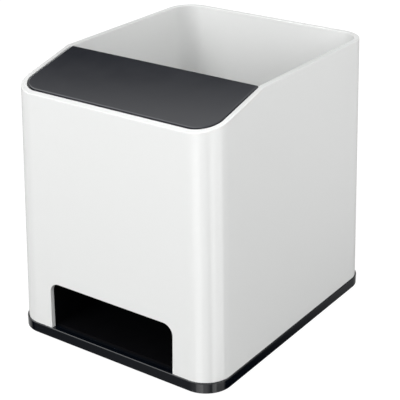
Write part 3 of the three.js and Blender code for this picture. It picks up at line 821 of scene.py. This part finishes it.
def make_base_tray():
    """Black base: a plate with soft edges, hollow below, with pads, collars and tongues."""
    tray = base_block("base_plate", 0, BASE_BOTTOM_Z, SEAT_Z)
    rim = lambda edge: is_sharp(edge) and abs(middle(edge).z - SEAT_Z) < NEAR
    soften(tray, rim, MOULDED_EDGE)
    sole = lambda edge: is_sharp(edge) and abs(middle(edge).z - BASE_BOTTOM_Z) < NEAR
    soften(tray, sole, FINE_EDGE)
    cut(tray, base_block("tray_pocket", BASE_SKIRT, 0, pocket_top_z))
    join(tray, *tray_ribs())
    pad_diameter = FOOT_DIAMETER + 2 * (FIT_GAP + FOOT_PAD_WALL)
    collar_diameter = BOSS_DIAMETER - 2 * (BOSS_BITE + FIT_GAP)
    pad_top_z = pocket_top_z + BITE
    for side_x, side_y in CORNERS.values():
        x = side_x * boss_x
        y = side_y * boss_y
        pad = upright("foot_pad", x, y, pad_diameter, BASE_BOTTOM_Z, pad_top_z)
        combine(pad, base_block("pad_limit", BASE_SKIRT / 2, 0, SEAT_Z), "INTERSECT")
        join(tray, pad)
        join(tray, upright("screw_collar", x, y, collar_diameter, head_seat_z, collar_top_z))
        cut(
            tray,
            upright("foot_recess", x, y, FOOT_DIAMETER + 2 * FIT_GAP, -OVERRUN, FOOT_THICKNESS),
            upright("head_recess", x, y, HEAD_DIAMETER + 2 * FIT_GAP, -OVERRUN, head_seat_z),
            upright("screw_hole", x, y, bore, -OVERRUN, collar_top_z + OVERRUN),
        )
    join(tray, *tray_tongues())
    clean(tray)
    finish_surface(tray, "base_tray", "black_gloss")


def make_foot():
    """Rubber foot with rounded edges and a shallow hollow in its sole."""
    x, y = -boss_x, -boss_y
    foot = upright("rubber_foot", x, y, FOOT_DIAMETER, 0, FOOT_THICKNESS, FOOT_STEPS)
    sole = lambda edge: is_sharp(edge) and middle(edge).z < NEAR
    soften(foot, sole, MOULDED_EDGE)
    top = lambda edge: is_sharp(edge) and middle(edge).z > FOOT_THICKNESS - NEAR
    soften(foot, top, FINE_EDGE, FINE_STEPS)
    take_up(foot)
    bpy.ops.object.mode_set(mode="EDIT")
    pick("faces", lambda face: face.normal.z < -LEVEL and middle(face).z < NEAR / 2)
    bpy.ops.mesh.inset(thickness=FOOT_RING)
    bpy.ops.mesh.inset(thickness=FOOT_HOLLOW)
    bpy.ops.transform.translate(value=(0, 0, FOOT_HOLLOW))
    bpy.ops.object.mode_set(mode="OBJECT")
    return foot


def make_screw():
    """Screw with a cross recess, head down, its shank drawn up out of the head."""
    x, y = -boss_x, -boss_y
    tip_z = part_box("screw_front_left")[1].z
    screw = upright("steel_screw", x, y, HEAD_DIAMETER, head_bottom_z, head_seat_z)
    take_up(screw)
    bpy.ops.object.mode_set(mode="EDIT")
    pick("faces", lambda face: face.normal.z > LEVEL)
    bpy.ops.mesh.inset(thickness=(HEAD_DIAMETER - SHANK_DIAMETER) / 2)
    for length, ratio in ((tip_z - TIP_LENGTH - head_seat_z, 1), (TIP_LENGTH, TIP_RATIO)):
        bpy.ops.mesh.extrude_region_move(TRANSFORM_OT_translate={"value": (0, 0, length)})
        bpy.ops.transform.resize(value=(ratio, ratio, 1), center_override=(x, y, tip_z))
    bpy.ops.object.mode_set(mode="OBJECT")
    crown = lambda edge: is_sharp(edge) and middle(edge).z < head_bottom_z + NEAR
    soften(screw, crown, MOULDED_EDGE)
    long, wide = CROSS_LENGTH / 2, CROSS_WIDTH / 2
    low_z, high_z = head_bottom_z - OVERRUN, head_bottom_z + CROSS_DEPTH
    for arm_x, arm_y in ((long, wide), (wide, long)):
        cut(screw, block("recess", (x - arm_x, y - arm_y, low_z), (x + arm_x, y + arm_y, high_z)))
    return screw


def set_in_corners(model, node, slot):
    """Copies a piece of the front left corner to the four corners and takes the model away."""
    for corner, (side_x, side_y) in CORNERS.items():
        shift = ((side_x + 1) * boss_x, (side_y + 1) * boss_y, 0)
        piece = copy_to(model, model.name + "_" + corner, shift)
        finish_surface(piece, node + "_" + corner, slot)
    bpy.data.objects.remove(model)


def painted(red, green, blue):
    """Shader colour for sRGB numbers, 0 to 255, by the main part of the sRGB curve."""
    parts = (part / 255 for part in (red, green, blue))
    return *(((part + 0.055) / 1.055) ** 2.4 for part in parts), 1


def noise(tree, place, size, detail):
    """Noise whose features have about this size on the piece."""
    node = tree.nodes.new("ShaderNodeTexNoise")
    node.inputs["Scale"].default_value = 1 / size
    node.inputs["Detail"].default_value = detail
    tree.links.new(place, node.inputs["Vector"])
    return node.outputs["Fac"]


def raised(tree, height, depth, below=None):
    """Bumps of this depth, laid over the bumps below them."""
    node = tree.nodes.new("ShaderNodeBump")
    node.inputs["Strength"].default_value = 1
    node.inputs["Distance"].default_value = depth
    tree.links.new(height, node.inputs["Height"])
    if below is not None:
        tree.links.new(below, node.inputs["Normal"])
    return node.outputs["Normal"]


def spread(tree, value, low, high):
    """Turns the middle range of a noise into a range of roughness."""
    node = tree.nodes.new("ShaderNodeMapRange")
    node.inputs["From Min"].default_value = NOISE_LOW
    node.inputs["From Max"].default_value = NOISE_HIGH
    node.inputs["To Min"].default_value = low
    node.inputs["To Max"].default_value = high
    tree.links.new(value, node.inputs["Value"])
    return node.outputs["Result"]


def mottled(tree, value, first, second):
    """Two close colours, mixed by a noise."""
    node = tree.nodes.new("ShaderNodeMix")
    node.data_type = "RGBA"
    node.inputs["A"].default_value = first
    node.inputs["B"].default_value = second
    tree.links.new(value, node.inputs["Factor"])
    return node.outputs["Result"]


def new_finish(name, colours, patches, roughness, bumps, settings=()):
    """Material whose tone, gloss and surface change a little from place to place."""
    material = bpy.data.materials.new(name)
    material.use_nodes = True
    tree = material.node_tree
    shader = tree.nodes["Principled BSDF"]
    place = tree.nodes.new("ShaderNodeTexCoord").outputs["Object"]
    for socket, value in settings:
        shader.inputs[socket].default_value = value
    patch = noise(tree, place, *patches)
    colours = [painted(*colour) for colour in colours]
    if len(colours) == 1:
        shader.inputs["Base Color"].default_value = colours[0]
    else:
        tree.links.new(mottled(tree, patch, *colours), shader.inputs["Base Color"])
    tree.links.new(spread(tree, patch, *roughness), shader.inputs["Roughness"])
    normal = None
    for size, detail, depth in bumps:
        normal = raised(tree, noise(tree, place, size, detail), depth, normal)
    tree.links.new(normal, shader.inputs["Normal"])
    return material


def seen_directly(tree):
    """1 for rays from the camera, from a gloss or through glass, otherwise 0."""
    path = tree.nodes.new("ShaderNodeLightPath")
    total = path.outputs["Is Camera Ray"]
    for name in ("Is Glossy Ray", "Is Transmission Ray"):
        node = tree.nodes.new("ShaderNodeMath")
        node.operation = "ADD"
        node.use_clamp = True
        tree.links.new(total, node.inputs[0])
        tree.links.new(path.outputs[name], node.inputs[1])
        total = node.outputs[0]
    return total


def choose(tree, factor, hidden, shown, output):
    """Shows one shader to direct rays and lights the holder with the other."""
    mix = tree.nodes.new("ShaderNodeMixShader")
    tree.links.new(factor, mix.inputs[0])
    tree.links.new(hidden.outputs[0], mix.inputs[1])
    tree.links.new(shown.outputs[0], mix.inputs[2])
    tree.links.new(mix.outputs[0], output.inputs["Surface"])


def lay_floor():
    """Plain white floor that keeps a faint shadow and throws little light back."""
    bpy.ops.object.select_all(action="DESELECT")
    bpy.ops.mesh.primitive_plane_add(size=FLOOR_SIZE)
    floor = bpy.context.active_object
    floor.name = "studio_floor"
    material = bpy.data.materials.new("studio floor")
    material.use_nodes = True
    tree = material.node_tree
    tree.nodes.clear()
    output = tree.nodes.new("ShaderNodeOutputMaterial")
    dull = tree.nodes.new("ShaderNodeBsdfDiffuse")
    dull.inputs["Color"].default_value = (FLOOR_DULL, FLOOR_DULL, FLOOR_DULL, 1)
    lit = tree.nodes.new("ShaderNodeBsdfDiffuse")
    lit.inputs["Color"].default_value = (FLOOR_LIT, FLOOR_LIT, FLOOR_LIT, 1)
    glow = tree.nodes.new("ShaderNodeEmission")
    glow.inputs["Strength"].default_value = FLOOR_GLOW
    shown = tree.nodes.new("ShaderNodeAddShader")
    tree.links.new(lit.outputs[0], shown.inputs[0])
    tree.links.new(glow.outputs[0], shown.inputs[1])
    choose(tree, seen_directly(tree), dull, shown, output)
    floor.data.materials.append(material)
    floor.visible_glossy = False


def calculate(tree, operation, first, second):
    """Result of a sum on two values, each a number or another node's output."""
    node = tree.nodes.new("ShaderNodeMath")
    node.operation = operation
    for socket, value in zip(node.inputs, (first, second)):
        if isinstance(value, (int, float)):
            socket.default_value = value
        else:
            tree.links.new(value, socket)
    return node.outputs[0]


def fade(tree, value, start, end, first, last):
    """Soft change from the first to the last strength while a value goes from start to end."""
    node = tree.nodes.new("ShaderNodeMapRange")
    node.interpolation_type = "SMOOTHSTEP"
    tree.links.new(value, node.inputs["Value"])
    for name, number in (("From Min", start), ("From Max", end)):
        node.inputs[name].default_value = number
    for name, number in (("To Min", first), ("To Max", last)):
        if isinstance(number, (int, float)):
            node.inputs[name].default_value = number
        else:
            tree.links.new(number, node.inputs[name])
    return node.outputs["Result"]


def light_panels(tree):
    """Strength of the white surroundings and of the light panels in them, by direction."""
    towards = tree.nodes.new("ShaderNodeTexCoord").outputs["Generated"]
    parts = tree.nodes.new("ShaderNodeSeparateXYZ")
    tree.links.new(towards, parts.inputs[0])
    azimuth = calculate(
        tree, "ARCTAN2", parts.outputs["X"], calculate(tree, "MULTIPLY", parts.outputs["Y"], -1)
    )
    height = parts.outputs["Z"]
    low = 0
    for middle_az, half, edge, strength, dark_el, bright_el in LOW_PANELS.values():
        beside = calculate(tree, "SUBTRACT", azimuth, radians(middle_az))
        apart = calculate(tree, "ABSOLUTE", beside, 0)
        shine = fade(tree, apart, radians(half), radians(half + edge), strength, 0)
        shine = fade(tree, height, sin(radians(dark_el)), sin(radians(bright_el)), 0, shine)
        low = calculate(tree, "ADD", shine, low)
    high = 0
    for aim, edge, strengths in HIGH_PANELS.values():
        facing = tree.nodes.new("ShaderNodeVectorMath")
        facing.operation = "DOT_PRODUCT"
        tree.links.new(towards, facing.inputs[0])
        facing.inputs[1].default_value = Vector(aim).normalized()
        shine = fade(tree, facing.outputs["Value"], *edge, *strengths)
        high = calculate(tree, "ADD", shine, high)
    upper = fade(tree, height, *(sin(radians(edge)) for edge in HIGH_CHANGE), 1, high)
    return fade(tree, height, *(sin(radians(edge)) for edge in LOW_CHANGE), low, upper)


def surround():
    """White for the camera, light panels for gloss and glass, and a soft grey for the rest."""
    world = bpy.data.worlds.new("studio surroundings")
    bpy.context.scene.world = world
    world.use_nodes = True
    tree = world.node_tree
    tree.nodes.clear()
    output = tree.nodes.new("ShaderNodeOutputWorld")
    ambient = tree.nodes.new("ShaderNodeBackground")
    ambient.inputs["Color"].default_value = (1, 1, 1, 1)
    ambient.inputs["Strength"].default_value = AMBIENT
    white = tree.nodes.new("ShaderNodeBackground")
    white.inputs["Color"].default_value = (1, 1, 1, 1)
    in_view = tree.nodes.new("ShaderNodeLightPath").outputs["Is Camera Ray"]
    strength = fade(tree, in_view, 0, 1, light_panels(tree), 1)
    tree.links.new(strength, white.inputs["Strength"])
    choose(tree, seen_directly(tree), ambient, white, output)


def hang_lamp(name, place, size, power):
    """Square softbox that points at the middle of the holder."""
    bpy.ops.object.select_all(action="DESELECT")
    bpy.ops.object.light_add(type="AREA", location=place)
    lamp = bpy.context.active_object
    lamp.name = name
    lamp.data.size = size
    lamp.data.energy = power
    lamp.visible_camera = False
    lamp.visible_glossy = False
    towards = Vector((0, 0, RIM_Z / 2)) - Vector(place)
    lamp.rotation_euler = towards.to_track_quat("-Z", "Y").to_euler()


def place_camera():
    """Camera with the photograph's viewing angle, distance and lens."""
    yaw, pitch, roll = (radians(turn) for turn in (CAMERA_YAW, CAMERA_PITCH, CAMERA_ROLL))
    back = Vector((sin(yaw) * cos(pitch), -cos(yaw) * cos(pitch), sin(pitch)))
    level = Vector((0, 0, 1)).cross(back).normalized()
    upward = back.cross(level)
    right = cos(roll) * level + sin(roll) * upward
    up = cos(roll) * upward - sin(roll) * level
    bpy.ops.object.select_all(action="DESELECT")
    bpy.ops.object.camera_add()
    camera = bpy.context.active_object
    place = CAMERA_TARGET + CAMERA_DISTANCE * back + CAMERA_TO_RIGHT * right - CAMERA_DOWN * up
    turn = Matrix((right, up, back)).transposed().to_4x4()
    camera.matrix_world = Matrix.Translation(place) @ turn
    camera.data.sensor_width = SENSOR_WIDTH
    camera.data.lens = LENS
    camera.data.clip_start = CAMERA_CLIP
    bpy.context.scene.camera = camera


materials = {slot: new_finish(**finish) for slot, finish in FINISHES.items()}

make_body_shell()
make_top_panel()
make_phone_cradle()
make_rest_pads()
make_duct_floor()
make_duct_roof()
make_base_tray()
set_in_corners(make_foot(), "foot", "rubber")
set_in_corners(make_screw(), "screw", "zinc_steel")

lay_floor()
surround()
for lamp_name, settings in LAMPS.items():
    hang_lamp(lamp_name, *settings)
place_camera()
bpy.context.scene.view_settings.view_transform = "Standard"
